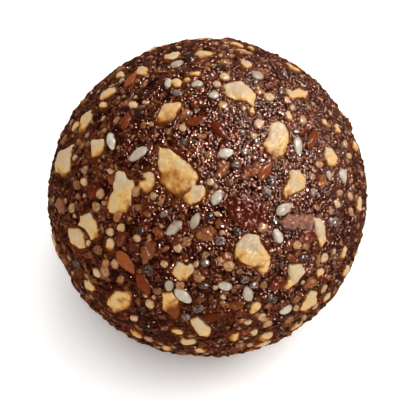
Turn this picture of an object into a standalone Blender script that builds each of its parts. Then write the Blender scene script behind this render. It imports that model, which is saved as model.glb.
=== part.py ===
"""A chocolate truffle of the raw kind: one ball of cocoa and date paste, thick with chopped nuts and seeds.

The ball is rolled between the palms, so it is nearly round, with broad pressed flats and a slightly lumpy skin.
It is soft enough to settle on a small flat foot.
Metres, +Z up. The origin is the middle of the foot, straight below the middle of the ball's outline.
"""

import math
import random

import bmesh
import bpy
from mathutils import Matrix, Vector, noise

# Driving dimensions
BALL_WIDTH = 0.0420
FOOT_WIDTH = 0.0130

# The palms leave broad flats, each a shallow dish in the round
PRESS_COUNT = 24
PRESS_DEPTH = (0.00006, 0.00018)
PRESS_WIDTH = (0.014, 0.022)
PRESS_SEED = 12

# Pieces of nut just under the skin lift it a little
LUMP_HEIGHT = 0.00014
LUMP_SPACING = 0.0042
GRIT_HEIGHT = 0.00006
GRIT_SPACING = 0.0019

# The paste is pressed smooth against the table, and the lumps come back over this height
SMOOTH_HEIGHT = 0.0025

# Each step of the primitive halves its edges, and this one leaves them about 1.6 mm long
BALL_SUBDIVISIONS = 5
FOOT_SNAP = 0.00022

PASTE_COLOUR = (0.075, 0.026, 0.014, 1.0)
PASTE_ROUGHNESS = 0.45

RADIUS = BALL_WIDTH / 2
FOOT_LEVEL = -math.sqrt(RADIUS**2 - (FOOT_WIDTH / 2) ** 2)
GOLDEN_TURN = math.pi * (3 - math.sqrt(5))


def clear_scene():
    """Removes every object that the file opened with."""
    for old in list(bpy.data.objects):
        bpy.data.objects.remove(old)


def paste_material():
    """Dark brown cocoa and date paste, a little sticky."""
    material = bpy.data.materials.new("cocoa_date_paste")
    material.use_nodes = True
    shader = material.node_tree.nodes["Principled BSDF"]
    shader.inputs["Base Color"].default_value = PASTE_COLOUR
    shader.inputs["Roughness"].default_value = PASTE_ROUGHNESS
    shader.inputs["Metallic"].default_value = 0.0
    return material


def palm_presses():
    """Where the palms pressed: a direction, a depth and a width for each flat, spread evenly round the ball."""
    dice = random.Random(PRESS_SEED)
    presses = []
    for number in range(PRESS_COUNT):
        height = 1 - 2 * (number + dice.uniform(0.2, 0.8)) / PRESS_COUNT
        around = number * GOLDEN_TURN + dice.uniform(-0.3, 0.3)
        across = math.sqrt(1 - height**2)
        direction = Vector((across * math.cos(around), across * math.sin(around), height))
        presses.append((direction, dice.uniform(*PRESS_DEPTH), dice.uniform(*PRESS_WIDTH)))
    return presses


def pressed_in(direction, presses):
    """How far the palms have pushed the skin in at this place."""
    depth = 0.0
    for middle, deepest, width in presses:
        away = RADIUS * direction.angle(middle) / (width / 2)
        if away < 1:
            depth += deepest * (1 - away**2) ** 2
    return depth


def lifted_out(direction):
    """How far nut and seed under the skin lift it at this place."""
    place = direction * RADIUS
    lump = noise.noise(place / LUMP_SPACING) * LUMP_HEIGHT
    grit = noise.noise(place / GRIT_SPACING) * GRIT_HEIGHT
    return lump + grit


def share_of_relief(direction):
    """None of the relief at the foot, and all of it from SMOOTH_HEIGHT upwards, in a smooth curve."""
    climb = (direction.z * RADIUS - FOOT_LEVEL) / SMOOTH_HEIGHT
    climb = min(max(climb, 0.0), 1.0)
    return climb * climb * (3 - 2 * climb)


def roll_ball(mesh_builder):
    """Starts from a round primitive and moves its skin in and out along each point's own direction."""
    bmesh.ops.create_icosphere(mesh_builder, subdivisions=BALL_SUBDIVISIONS, radius=RADIUS)
    presses = palm_presses()
    for point in mesh_builder.verts:
        direction = point.co.normalized()
        relief = lifted_out(direction) - pressed_in(direction, presses)
        point.co = direction * (RADIUS + relief * share_of_relief(direction))


def round_the_rim(mesh_builder):
    """Slides the points nearest the cut along the skin onto it, so that the foot's rim is an even circle."""
    rim_radius = FOOT_WIDTH / 2
    for point in mesh_builder.verts:
        if abs(point.co.z - FOOT_LEVEL) < FOOT_SNAP:
            outwards = Vector((point.co.x, point.co.y, 0.0)).normalized()
            point.co = outwards * rim_radius + Vector((0.0, 0.0, FOOT_LEVEL))


def settle_on_foot(mesh_builder):
    """Cuts the ball flat where it has settled, and closes the cut with one flat face at height zero."""
    round_the_rim(mesh_builder)
    everything = mesh_builder.verts[:] + mesh_builder.edges[:] + mesh_builder.faces[:]
    cut = bmesh.ops.bisect_plane(
        mesh_builder,
        geom=everything,
        dist=0.00001,
        plane_co=(0, 0, FOOT_LEVEL),
        plane_no=(0, 0, -1),
        clear_outer=True,
    )
    rim = [piece for piece in cut["geom_cut"] if isinstance(piece, bmesh.types.BMEdge)]
    bmesh.ops.contextual_create(mesh_builder, geom=rim)
    bmesh.ops.recalc_face_normals(mesh_builder, faces=mesh_builder.faces)


def centre_over_origin(mesh_builder):
    """Puts the foot at height zero and the middle of the outline straight above the origin."""
    across = [point.co.x for point in mesh_builder.verts]
    along = [point.co.y for point in mesh_builder.verts]
    middle = Vector(((min(across) + max(across)) / 2, (min(along) + max(along)) / 2, FOOT_LEVEL))
    mesh_builder.transform(Matrix.Translation(-middle))
    for point in mesh_builder.verts:
        if abs(point.co.z) < 0.000001:
            point.co.z = 0.0


def make_truffle(collection):
    """The whole truffle, which is one piece of paste."""
    mesh_builder = bmesh.new()
    roll_ball(mesh_builder)
    settle_on_foot(mesh_builder)
    centre_over_origin(mesh_builder)
    mesh = bpy.data.meshes.new("truffle_ball")
    mesh_builder.to_mesh(mesh)
    mesh_builder.free()
    mesh.shade_smooth()
    mesh.materials.append(paste_material())
    truffle = bpy.data.objects.new("truffle_ball", mesh)
    collection.objects.link(truffle)
    return truffle


def main():
    clear_scene()
    collection = bpy.data.collections.new("chocolate_truffle")
    bpy.context.scene.collection.children.link(collection)
    make_truffle(collection)


main()
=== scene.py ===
# %% [markdown]
# # A chocolate truffle, seeds and all
# The real thing is a ball of cocoa and date paste, rolled by hand with chopped nuts and small seeds in it.
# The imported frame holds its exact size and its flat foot. This lesson gives it its looks: a sticky skin of
# paste, and every kind of nut, seed and crumb as a mesh of its own, pressed into that skin.

# %% Load the frame
import math
import random

import bpy
import numpy as np
from mathutils import Matrix, Vector
from mathutils.bvhtree import BVHTree


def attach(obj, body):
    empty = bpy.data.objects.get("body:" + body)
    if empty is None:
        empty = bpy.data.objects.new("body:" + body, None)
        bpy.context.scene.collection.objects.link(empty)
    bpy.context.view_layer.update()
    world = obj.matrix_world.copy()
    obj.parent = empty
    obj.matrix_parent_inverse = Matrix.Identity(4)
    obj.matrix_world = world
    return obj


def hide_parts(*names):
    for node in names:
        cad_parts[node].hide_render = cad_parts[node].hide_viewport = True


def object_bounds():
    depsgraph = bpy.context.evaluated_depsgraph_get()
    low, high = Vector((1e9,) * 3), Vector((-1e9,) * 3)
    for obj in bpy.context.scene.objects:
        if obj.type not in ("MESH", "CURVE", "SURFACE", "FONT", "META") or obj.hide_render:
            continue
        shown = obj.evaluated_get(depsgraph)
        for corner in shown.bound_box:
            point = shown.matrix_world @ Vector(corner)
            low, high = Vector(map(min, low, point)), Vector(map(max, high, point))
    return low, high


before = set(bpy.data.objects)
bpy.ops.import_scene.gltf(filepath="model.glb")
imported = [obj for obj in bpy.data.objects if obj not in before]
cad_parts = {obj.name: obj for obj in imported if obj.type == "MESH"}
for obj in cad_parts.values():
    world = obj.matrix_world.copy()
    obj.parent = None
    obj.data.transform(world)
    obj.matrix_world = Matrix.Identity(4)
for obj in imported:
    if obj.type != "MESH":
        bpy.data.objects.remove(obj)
frame_low, frame_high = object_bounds()
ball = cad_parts["truffle_ball"]
MM = 0.001
print("frame box, mm:", [round((high - low) / MM, 2) for low, high in zip(frame_low, frame_high)])

# %% [markdown]
# ## Where the camera stands
# The photograph looks down on the ball through a long lens, so the ball's outline is a circle and its
# shadow peeps out below it and to the left. The camera could be set by eye, but the outline gives it: the
# distance is chosen, and the lens then follows from how wide the ball stands in the picture.

# %% Camera
PICTURE = 416
BALL_ACROSS, BALL_DOWN, BALL_RADIUS_PX = 207.5, 198.0, 159.0
LOOK_DOWN = math.radians(58)
CAMERA_AWAY = 420 * MM
SENSOR_WIDTH = 36.0

foot_z = frame_low[2]
radius = (frame_high[0] - frame_low[0]) / 2
middle = Vector((0, 0, frame_high[2] - radius))
toward_camera = Vector((0, -math.cos(LOOK_DOWN), math.sin(LOOK_DOWN)))
picture_right = Vector((1, 0, 0))
picture_up = toward_camera.cross(picture_right)

focal_px = BALL_RADIUS_PX / math.tan(math.asin(radius / CAMERA_AWAY))
camera_data = bpy.data.cameras.new("camera")
camera_data.sensor_width = SENSOR_WIDTH
camera_data.lens = focal_px / PICTURE * SENSOR_WIDTH
camera_data.clip_start = 10 * MM
camera = bpy.data.objects.new("camera", camera_data)
bpy.context.scene.collection.objects.link(camera)
bpy.context.scene.camera = camera

camera_place = middle + toward_camera * CAMERA_AWAY
aim_right = (PICTURE / 2 - BALL_ACROSS) / focal_px * CAMERA_AWAY
aim_up = (BALL_DOWN - PICTURE / 2) / focal_px * CAMERA_AWAY
aim = middle + picture_right * aim_right + picture_up * aim_up
camera.location = camera_place
camera.rotation_euler = (aim - camera_place).to_track_quat("-Z", "Y").to_euler()
bpy.context.view_layer.update()
print("lens, mm:", round(camera_data.lens, 1))

# %% [markdown]
# ## Floor and light
# The ball stands on plain white under one very large soft light, with white all round it. The light hangs
# to the right and slightly in front, so that a soft shadow lies round the foot and to the left. A white
# card at the back right lifts the far side, and three small lamps are there only for the glints of a sticky
# skin. Floor, sky, softbox and card are hidden from reflections, because mirrored white that large lays a
# grey haze on dark paste. The photograph's floor is brighter than the light on the ball accounts for, so
# here the floor returns more light than falls on it.

# %% Floor, light and surroundings
FLOOR_SIZE = 3.0
FLOOR_WHITE = (1.45, 1.44, 1.43)
LIGHT_SIZE = 0.55
LIGHT_AWAY = 0.67
LIGHT_POWER = 2.25
LIGHT_SIDE = math.radians(13)
LIGHT_BACK = math.radians(-12)
SKY = 0.60
CARD_SIZE = 0.9
CARD_POWER = 3.8
CARD_SIDE = math.radians(52)
CARD_BACK = math.radians(52)
# Size, power, side and back of the lamps that only make glints.
SPARKLES = (
    (0.15, 13.0, math.radians(26), math.radians(20)),
    (0.15, 11.0, math.radians(48), math.radians(-44)),
    (0.15, 4.0, math.radians(58), math.radians(38)),
)


def give(tree, taker, value):
    """Links an input to the socket that is given for it, or sets it to the value."""
    if isinstance(value, bpy.types.NodeSocket):
        tree.links.new(value, taker)
    else:
        taker.default_value = value


def add_node(tree, kind, inputs, **settings):
    """A new node with these settings and inputs."""
    node = tree.nodes.new(kind)
    for setting, value in settings.items():
        setattr(node, setting, value)
    for name, value in inputs.items():
        give(tree, node.inputs[name], value)
    return node


bpy.ops.object.select_all(action="DESELECT")
bpy.ops.mesh.primitive_plane_add(size=FLOOR_SIZE, location=(0, 0, foot_z))
floor = bpy.context.object
floor.name = "floor"
floor_paint = bpy.data.materials.new("white_floor")
floor_paint.use_nodes = True
floor_tree = floor_paint.node_tree
floor_tree.nodes.remove(floor_tree.nodes["Principled BSDF"])
floor_matt = add_node(floor_tree, "ShaderNodeBsdfDiffuse", {"Color": (*FLOOR_WHITE, 1)})
give(floor_tree, floor_tree.nodes["Material Output"].inputs["Surface"], floor_matt.outputs["BSDF"])
floor.data.materials.append(floor_paint)
floor.visible_glossy = False


def hang_light(name, size, power, side, back):
    """A square lamp above the ball, turned toward it."""
    lamp_data = bpy.data.lights.new(name, "AREA")
    lamp_data.size = size
    lamp_data.energy = power
    lamp = bpy.data.objects.new(name, lamp_data)
    bpy.context.scene.collection.objects.link(lamp)
    way = Vector((math.tan(side), math.tan(back), 1)).normalized()
    lamp.location = middle + way * LIGHT_AWAY
    lamp.rotation_euler = way.to_track_quat("Z", "Y").to_euler()
    return lamp


softbox = hang_light("softbox", LIGHT_SIZE, LIGHT_POWER, LIGHT_SIDE, LIGHT_BACK)
softbox.visible_glossy = False
white_card = hang_light("white_card", CARD_SIZE, CARD_POWER, CARD_SIDE, CARD_BACK)
white_card.visible_glossy = False
for number, (size, power, side, back) in enumerate(SPARKLES):
    sparkle = hang_light(f"sparkle_{number}", size, power, side, back)
    sparkle.visible_diffuse = False

sky = bpy.data.worlds.new("white_room")
sky.use_nodes = True
sky.node_tree.nodes["Background"].inputs["Color"].default_value = (1, 1, 1, 1)
sky.node_tree.nodes["Background"].inputs["Strength"].default_value = SKY
sky.cycles_visibility.glossy = False
bpy.context.scene.world = sky
bpy.context.scene.view_settings.view_transform = "Standard"
print(len(bpy.data.lights), "lights over a floor at", foot_z)

# %% [markdown]
# ## From the picture to the ball
# A seed that is seen in the photograph has its place there in pixels. A straight line from the camera
# through that pixel meets the ball in one point, and the seed is pressed in there. Its long side is turned
# in the picture, so it is turned back into the plane that touches the ball.

# %% Places on the ball
# A pixel farther than this from the ball's middle is brought back to the ball's edge.
EDGE_PX = 156.0
# One pixel at the ball's distance, in metres.
PX = CAMERA_AWAY / focal_px

ball_tree = BVHTree.FromPolygons(
    [corner.co.copy() for corner in ball.data.vertices],
    [tuple(face.vertices) for face in ball.data.polygons],
)


def seen_at(across, down):
    """The point of the ball that this pixel shows, or the ball's edge if the pixel is beside it."""
    from_middle = Vector((across - BALL_ACROSS, BALL_DOWN - down))
    if from_middle.length > EDGE_PX:
        from_middle *= EDGE_PX / from_middle.length
        across, down = BALL_ACROSS + from_middle.x, BALL_DOWN - from_middle.y
    local = Vector(((across - PICTURE / 2) / focal_px, (PICTURE / 2 - down) / focal_px, -1))
    hit, _, _, _ = ball_tree.ray_cast(camera_place, (camera.matrix_world.to_3x3() @ local).normalized())
    return hit


def ground(direction):
    """The ball's surface in this direction from its middle."""
    hit, _, _, _ = ball_tree.ray_cast(middle, direction.normalized())
    return hit


print("one pixel on the ball, mm:", round(PX / MM, 4))

# %% [markdown]
# A bed is the note of where one piece lies: its place, how it is turned, its size and its tone. Near the
# ball's edge a piece looks shorter or narrower than it is, so its true size is worked out first.

# %% Beds
# How many times longer than it looks a piece may be, and how squarely its place faces the camera at least.
MOST_STRETCH = 2.6
LEAST_FACING = 0.2
# How small or large a copy may be beside the modelled seed.
SMALLEST, LARGEST = 0.35, 1.35


def bed_at(place, along, sink, size, tone):
    """A bed at a place on the ball, with the piece's long side along a direction and its flat side up."""
    up = (place - middle).normalized()
    long_side = (along - up * along.dot(up)).normalized()
    turned = Matrix((long_side, up.cross(long_side), up)).transposed()
    return {"place": place - up * sink, "turn": turned.to_euler(), "size": size, "tone": tone}


def true_size(across, down, long_px, wide_px, turn):
    """What a length and width in the picture are on the ball: place, long side, and both in metres."""
    place = seen_at(across, down)
    up = (place - middle).normalized()
    angle = math.radians(turn)
    flat = picture_right * math.cos(angle) + picture_up * math.sin(angle)
    along = flat - toward_camera * (flat.dot(up) / max(toward_camera.dot(up), LEAST_FACING))
    aside = up.cross(along.normalized())
    shown = abs(aside.dot(picture_up) * math.cos(angle) - aside.dot(picture_right) * math.sin(angle))
    length = long_px * PX * min(along.length, MOST_STRETCH)
    width = wide_px * PX / max(shown, 1 / MOST_STRETCH)
    return place, along, length, width


def seen_bed(across, down, long_px, wide_px, turn, sink, whole, tone):
    """A bed for a piece that the photograph shows, for a modelled seed with this whole length and width."""
    place, along, *sizes = true_size(across, down, long_px, wide_px, turn)
    length, width = (min(max(size / full, SMALLEST), LARGEST) for size, full in zip(sizes, whole))
    return bed_at(place, along, sink, (length, width, math.sqrt(length * width)), tone)


_, _, *sizes = true_size(BALL_ACROSS, BALL_DOWN, long_px=20, wide_px=10, turn=0)
print("20 by 10 pixels at the middle of the ball, mm:", [round(size / MM, 2) for size in sizes])

# %% [markdown]
# Every piece keeps clear of the larger ones that were laid before it, so the largest kinds are laid first,
# and what is laid is noted. All that is left to chance comes from one seeded dice, so that the ball comes
# out the same each time.

# %% Keeping clear
MOST_BEDS = 12000
# How far above the floor a piece's middle stays, as a share of its reach.
FOOT_GAP = 0.9
# The lowest direction that a strewn piece may lie in, as a height on a ball of radius 1.
LOWEST_SEED = -0.925
VIEW_EDGE = math.cos(math.radians(89))
TRIES = 40
# How unlike the copies of one seed are in length, width and thickness.
UNLIKE = ((0.9, 1.1), (0.88, 1.12), (0.85, 1.15))

dice = random.Random(5)
taken_places = np.zeros((MOST_BEDS, 3))
taken_reach = np.zeros(MOST_BEDS)
taken = 0


def claim(place, reach):
    """Notes that a piece lies here, and how far it reaches."""
    global taken
    taken_places[taken] = place
    taken_reach[taken] = reach
    taken += 1


def is_free(place, reach):
    """Whether a piece with this reach would touch neither the foot nor any piece that is noted."""
    away = np.linalg.norm(taken_places[:taken] - np.array(place), axis=1)
    return bool((away > taken_reach[:taken] + reach).all()) and place.z > foot_z + FOOT_GAP * reach


def random_vector():
    """A vector that points anywhere."""
    return Vector((dice.gauss(0, 1), dice.gauss(0, 1), dice.gauss(0, 1)))


def any_direction():
    """A direction from the ball's middle that points at its skin and not at its foot."""
    while True:
        way = random_vector().normalized()
        if way.z > LOWEST_SEED:
            return way


def is_in_view(way):
    """Whether the photograph shows the ball's skin in this direction."""
    return way.dot(toward_camera) > VIEW_EDGE


def strewn_beds(count, reach, sizes, sink, whole_ball=False, tries=TRIES):
    """Beds at random, each with this reach kept free: all over the ball, or only where it isn't seen."""
    beds = []
    for _ in range(count):
        for _ in range(tries):
            way = any_direction()
            size = dice.uniform(*sizes)
            place = ground(way)
            if (whole_ball or not is_in_view(way)) and is_free(place, reach * size):
                claim(place, reach * size)
                along = random_vector()
                shape = [size * dice.uniform(*unlike) for unlike in UNLIKE]
                beds.append(bed_at(place, along, dice.uniform(*sink), shape, dice.random()))
                break
    return beds


# %% [markdown]
# ## Helpers for the bench
# An operator acts on all that is selected, so each helper first leaves only its own piece selected. Faces
# and corners are picked in code, by their place or their normal.

# %% Selecting and shaping


def deselect_all():
    """Leaves nothing selected, so that the next operator acts on the new piece alone."""
    bpy.ops.object.select_all(action="DESELECT")


def take_up(piece):
    """Leaves this piece alone selected and active."""
    deselect_all()
    piece.select_set(True)
    bpy.context.view_layer.objects.active = piece


def shape_in(piece, mode="VERT"):
    """Opens a piece in edit mode with nothing selected."""
    take_up(piece)
    bpy.ops.object.mode_set(mode="EDIT")
    bpy.ops.mesh.select_mode(type=mode)
    bpy.ops.mesh.select_all(action="DESELECT")


def pick(piece, kind, choose):
    """Selects the vertices or polygons that choose says, and leaves edit mode open."""
    bpy.ops.mesh.select_all(action="DESELECT")
    bpy.ops.object.mode_set(mode="OBJECT")
    for element in getattr(piece.data, kind):
        element.select = bool(choose(element))
    bpy.ops.object.mode_set(mode="EDIT")


def finish_shape(piece, smooth=True):
    """Turns the faces outwards, leaves edit mode and shades the piece."""
    bpy.ops.mesh.select_all(action="SELECT")
    bpy.ops.mesh.normals_make_consistent(inside=False)
    bpy.ops.object.mode_set(mode="OBJECT")
    if smooth:
        bpy.ops.object.shade_smooth()


def join_all(pieces, name):
    """Joins the pieces into one with its object at the origin."""
    deselect_all()
    for piece in pieces:
        piece.select_set(True)
    bpy.context.view_layer.objects.active = pieces[0]
    bpy.ops.object.join()
    joined = bpy.context.object
    joined.name = joined.data.name = name
    bpy.ops.object.transform_apply(location=True, rotation=True, scale=True)
    return joined


# %% Kneading and measuring


def knead(piece, name, kind, scale, strength, level=0.5):
    """Adds a texture that moves the piece's skin in and out, with patches of this scale."""
    moved = piece.modifiers.new(name, "DISPLACE")
    moved.texture = bpy.data.textures.new(name, kind)
    moved.texture.noise_scale = scale
    moved.strength = strength
    moved.mid_level = level


def apply_all(piece):
    """Applies the piece's modifiers in their order."""
    take_up(piece)
    for modifier in list(piece.modifiers):
        bpy.ops.object.modifier_apply(modifier=modifier.name)


def tree_of(pieces):
    """All the pieces as one tree for sight lines."""
    corners, faces = [], []
    for piece in pieces:
        first = len(corners)
        corners += [corner.co.copy() for corner in piece.data.vertices]
        faces += [[first + number for number in face.vertices] for face in piece.data.polygons]
    return BVHTree.FromPolygons(corners, faces)


# A sight line starts this many radii from the ball's middle, outside of everything.
OUTSIDE = 1.3


def height_over(tree, way):
    """How far from the ball's middle the outermost surface lies in this direction, or 0 if there is none."""
    hit, _, _, _ = tree.ray_cast(middle + way * OUTSIDE * radius, -way, radius)
    return 0.0 if hit is None else (hit - middle).length


def carry(piece, name, values):
    """Gives each corner of the piece's mesh a value of its own, which its paint can read."""
    piece.data.attributes.new(name, "FLOAT", "POINT").data.foreach_set("value", values)


def triangles(piece):
    """How many triangles the piece has, in words."""
    return f"{piece.name}: {sum(len(face.vertices) - 2 for face in piece.data.polygons)} triangles"


# %% [markdown]
# ## Laying a kind of seed
# Hundreds of seeds could be copied and joined one by one. Geometry Nodes do it in one go: a mesh that has
# only the beds as points, one modelled seed set on each, and the copies made real, so that each kind ends
# as one ordinary mesh. The tone of each bed stays on its copy as an attribute, and the paint reads it.

# %% Laying
BED_FIELDS = (
    ("turn", "FLOAT_VECTOR", "vector"), ("size", "FLOAT_VECTOR", "vector"), ("tone", "FLOAT", "value"),
)


def laying_nodes(name, master):
    """The nodes that set a copy of the modelled seed on each point and make the copies real."""
    tree = bpy.data.node_groups.new(f"lay_{name}", "GeometryNodeTree")
    tree.interface.new_socket("Geometry", in_out="INPUT", socket_type="NodeSocketGeometry")
    tree.interface.new_socket("Geometry", in_out="OUTPUT", socket_type="NodeSocketGeometry")
    entry = tree.nodes.new("NodeGroupInput")
    modelled = add_node(tree, "GeometryNodeObjectInfo", {"Object": master})
    turn, size = (
        add_node(tree, "GeometryNodeInputNamedAttribute", {"Name": field}, data_type="FLOAT_VECTOR")
        for field in ("turn", "size")
    )
    turned = add_node(tree, "FunctionNodeEulerToRotation", {"Euler": turn.outputs["Attribute"]})
    on_points = add_node(tree, "GeometryNodeInstanceOnPoints", {
        "Points": entry.outputs[0], "Instance": modelled.outputs["Geometry"],
        "Rotation": turned.outputs["Rotation"], "Scale": size.outputs["Attribute"],
    })
    real = add_node(tree, "GeometryNodeRealizeInstances", {"Geometry": on_points.outputs["Instances"]})
    add_node(tree, "NodeGroupOutput", {0: real.outputs["Geometry"]})
    return tree


def lay(name, master, beds):
    """One piece that has a copy of the modelled seed on each bed."""
    points = bpy.data.meshes.new(name)
    points.from_pydata([bed["place"] for bed in beds], [], [])
    for field, kind, slot in BED_FIELDS:
        values = np.array([bed[field] for bed in beds], np.float32).ravel()
        points.attributes.new(field, kind, "POINT").data.foreach_set(slot, values)
    piece = bpy.data.objects.new(name, points)
    bpy.context.scene.collection.objects.link(piece)
    piece.modifiers.new("laid", "NODES").node_group = laying_nodes(name, master)
    apply_all(piece)
    bpy.data.objects.remove(master)
    piece.data.materials.clear()
    print(len(beds), "laid,", triangles(piece))
    return piece


# %% [markdown]
# ## Chopped nuts
# The palest pieces are chips of nut, cut with a knife and rolled in so that a broken face lies flush with
# the paste. No two are alike, so each starts from an outline of its own. The largest chips get the outline
# that the photograph shows, the smaller ones an uneven oval of the length and width that they have there,
# and those on the hidden side an uneven oval at random.

# %% Nut outlines in the photograph
# Each has how golden the chip is, and its corners in pixels.
NUT_OUTLINES = (
    (0.85, ((158, 149), (168, 149), (181, 158), (192, 167), (198, 178), (190, 192), (181, 197),
            (170, 191), (160, 181))),
    (0.20, ((185, 193), (193, 187), (202, 186), (205, 191), (200, 200), (191, 205), (184, 201))),
    (0.25, ((117, 173), (124, 173), (127, 179), (134, 182), (131, 194), (130, 206), (125, 213),
            (115, 215), (107, 207), (112, 190))),
    (0.45, ((163, 105), (171, 102), (181, 101), (180, 108), (170, 121), (159, 123), (157, 116))),
    (0.20, ((224, 87), (231, 82), (240, 81), (249, 87), (255, 98), (253, 106), (244, 101), (234, 100),
            (227, 96))),
    (0.15, ((287, 89), (294, 91), (300, 88), (308, 93), (306, 99), (297, 97), (289, 99))),
    (0.45, ((271, 123), (284, 123), (289, 137), (284, 152), (277, 163), (268, 153), (264, 144),
            (270, 135))),
    (0.40, ((291, 170), (299, 171), (306, 182), (304, 189), (295, 192), (286, 200), (283, 192),
            (288, 181))),
    (0.15, ((240, 238), (248, 234), (258, 236), (263, 247), (269, 258), (262, 268), (246, 265),
            (235, 257), (236, 247))),
    (0.10, ((257, 259), (266, 256), (270, 262), (266, 272), (258, 271))),
    (0.20, ((314, 219), (322, 218), (326, 231), (327, 240), (322, 248), (318, 243), (315, 232))),
    (0.30, ((326, 148), (332, 149), (338, 158), (335, 167), (328, 165), (325, 155))),
    (0.20, ((289, 266), (301, 265), (304, 272), (297, 283), (288, 290), (283, 287), (288, 277))),
    (0.30, ((311, 291), (318, 293), (315, 302), (305, 313), (299, 309), (304, 300))),
    (0.35, ((177, 262), (184, 265), (186, 270), (193, 268), (194, 273), (188, 277), (186, 281),
            (178, 279), (171, 272))),
    (1.15, ((162, 293), (172, 293), (178, 301), (179, 313), (174, 318), (162, 309))),
    (0.78, ((109, 296), (119, 290), (129, 292), (132, 300), (126, 309), (115, 312), (107, 305))),
    (0.15, ((190, 320), (197, 318), (211, 330), (209, 336), (199, 335))),
    (0.30, ((80, 216), (90, 213), (95, 221), (99, 236), (93, 240), (87, 231), (79, 225))),
    (0.35, ((69, 229), (77, 228), (84, 236), (85, 246), (79, 250), (71, 243))),
    (0.15, ((74, 145), (70, 152), (69, 169), (62, 178), (56, 167), (59, 154), (67, 149))),
    (0.35, ((93, 140), (103, 139), (104, 148), (98, 156), (91, 159), (91, 148))),
)
# The smaller ones: across, down, length, width, turn in degrees, and how golden.
SMALL_NUTS = (
    (147, 184, 24, 14, 75, 0.5), (86, 119, 17, 10, 40, 0.3), (108, 93, 18, 8, 40, 0.2),
    (103, 105, 8, 6, 0, 0.3), (142, 71, 13, 9, 20, 0.2), (171, 56, 15, 6, 12, 0.2),
    (204, 53, 17, 8, 0, 0.3), (238, 43, 15, 5, -8, 0.4), (243, 51, 19, 6, -10, 0.9),
    (246, 64, 11, 8, 0, 0.3), (294, 68, 17, 5, -38, 0.4), (252, 112, 9, 8, 80, 0.9),
    (194, 74, 12, 6, 10, 0.7), (177, 83, 9, 8, 0, 0.8), (187, 80, 8, 6, 30, 0.8),
    (289, 117, 12, 6, -58, 0.8), (255, 308, 13, 9, 60, 0.4), (88, 285, 13, 8, -62, 0.5),
    (327, 297, 14, 6, 52, 0.5), (297, 326, 16, 5, 38, 0.4), (262, 345, 16, 5, 15, 0.4),
    (360, 205, 15, 6, -88, 0.3), (344, 253, 14, 6, 62, 0.2), (136, 334, 14, 8, -32, 0.6),
    (166, 351, 12, 5, -12, 0.5), (347, 272, 12, 5, 62, 0.4), (356, 145, 12, 5, -65, 0.2),
    (60, 204, 13, 9, 88, 0.95), (337, 128, 10, 7, -55, 0.4), (190, 268, 8, 7, 0, 0.5),
    (82, 128, 16, 6, 50, 0.5), (75, 127, 14, 4, 55, 0.3), (178, 332, 12, 7, 0, 0.5),
    (201, 350, 13, 5, -4, 0.3), (188, 342, 15, 7, -3, 0.3), (235, 337, 11, 8, 0, 0.5),
    (265, 337, 14, 8, 15, 0.4), (110, 246, 13, 10, 70, 0.85), (320, 273, 11, 7, 75, 0.6),
    (253, 45, 9, 4, -15, 0.3), (120, 75, 9, 5, 45, 0.3), (324, 122, 7, 5, -50, 0.3),
)
print(len(NUT_OUTLINES), "outlined nuts and", len(SMALL_NUTS), "small ones")

# %% Uneven outlines
CORNERS = 8
# How far a corner may be turned, as a share of a step between two, and pushed in or out.
CORNER_TURN = 0.25
CORNER_REACH = (0.80, 1.18)
OUTLINE_TRIES = 60
# The higher this power, the more of the hidden pieces are short.
MOSTLY_SHORT = 1.6
# What a hidden piece keeps free, as a share of its length.
FAR_KEEPS = 0.45


def rough_outline(place, along, length, width):
    """Corners round a place on the ball: an oval whose corners are pushed in and out at random."""
    up = (place - middle).normalized()
    long_side = (along - up * along.dot(up)).normalized()
    aside = up.cross(long_side)
    corners = []
    for number in range(CORNERS):
        angle = math.tau * (number + dice.uniform(-CORNER_TURN, CORNER_TURN)) / CORNERS
        reach = dice.uniform(*CORNER_REACH)
        corner = long_side * (math.cos(angle) * length / 2) + aside * (math.sin(angle) * width / 2)
        corners.append(ground(place + corner * reach - middle))
    return corners


def seen_outline(*shape):
    """A rough outline for a piece with this place, length, width and turn in the photograph."""
    return rough_outline(*true_size(*shape))


def far_outlines(count, shortest, longest, slender):
    """Rough outlines on the side that the photograph doesn't show, most of them short."""
    outlines = []
    for _ in range(count):
        for _ in range(OUTLINE_TRIES):
            way = any_direction()
            length = shortest + (longest - shortest) * dice.random() ** MOSTLY_SHORT
            if not is_in_view(way) and is_free(ground(way), 0.5 * length):
                along = random_vector()
                outlines.append(rough_outline(ground(way), along, length, length * dice.uniform(*slender)))
                claim(ground(way), FAR_KEEPS * length)
                break
    return outlines


def heart_of(rim):
    """The middle of an outline."""
    return sum(rim, Vector()) / len(rim)


def reaches(rim):
    """How far each corner of an outline lies from its middle."""
    heart = heart_of(rim)
    return [(corner - heart).length for corner in rim]


# %% All the nut outlines
FAR_NUTS = 64
FAR_NUT_LENGTH = (1.3 * MM, 4.4 * MM)
FAR_NUT_SLENDER = (0.45, 0.9)
# The higher this power, the more of the hidden nuts are pale.
MOSTLY_PALE = 1.5
# What an outline keeps free, as a share of its longest reach.
OUTLINE_KEEPS = 0.75


def claim_outlines(rims):
    """Notes where the pieces with these outlines lie."""
    for _, rim in rims:
        claim(heart_of(rim), OUTLINE_KEEPS * max(reaches(rim)))


nut_rims = [(gold, [seen_at(*corner) for corner in corners]) for gold, corners in NUT_OUTLINES]
nut_rims += [(gold, seen_outline(*shape)) for *shape, gold in SMALL_NUTS]
claim_outlines(nut_rims)
far_rims = far_outlines(FAR_NUTS, *FAR_NUT_LENGTH, FAR_NUT_SLENDER)
nut_rims += [(dice.random() ** MOSTLY_PALE, rim) for rim in far_rims]
print(len(nut_rims), "nuts in all")

# %% [markdown]
# A chip is a disc primitive whose corners take the outline. Its edges are subdivided with a fractal, which
# makes the outline ragged. The disc is then extruded into the ball and narrowed there, and the broken face
# on top is extruded and narrowed in three low steps, each shifted a little to one side, so that it bulges
# and lies off level.

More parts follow.
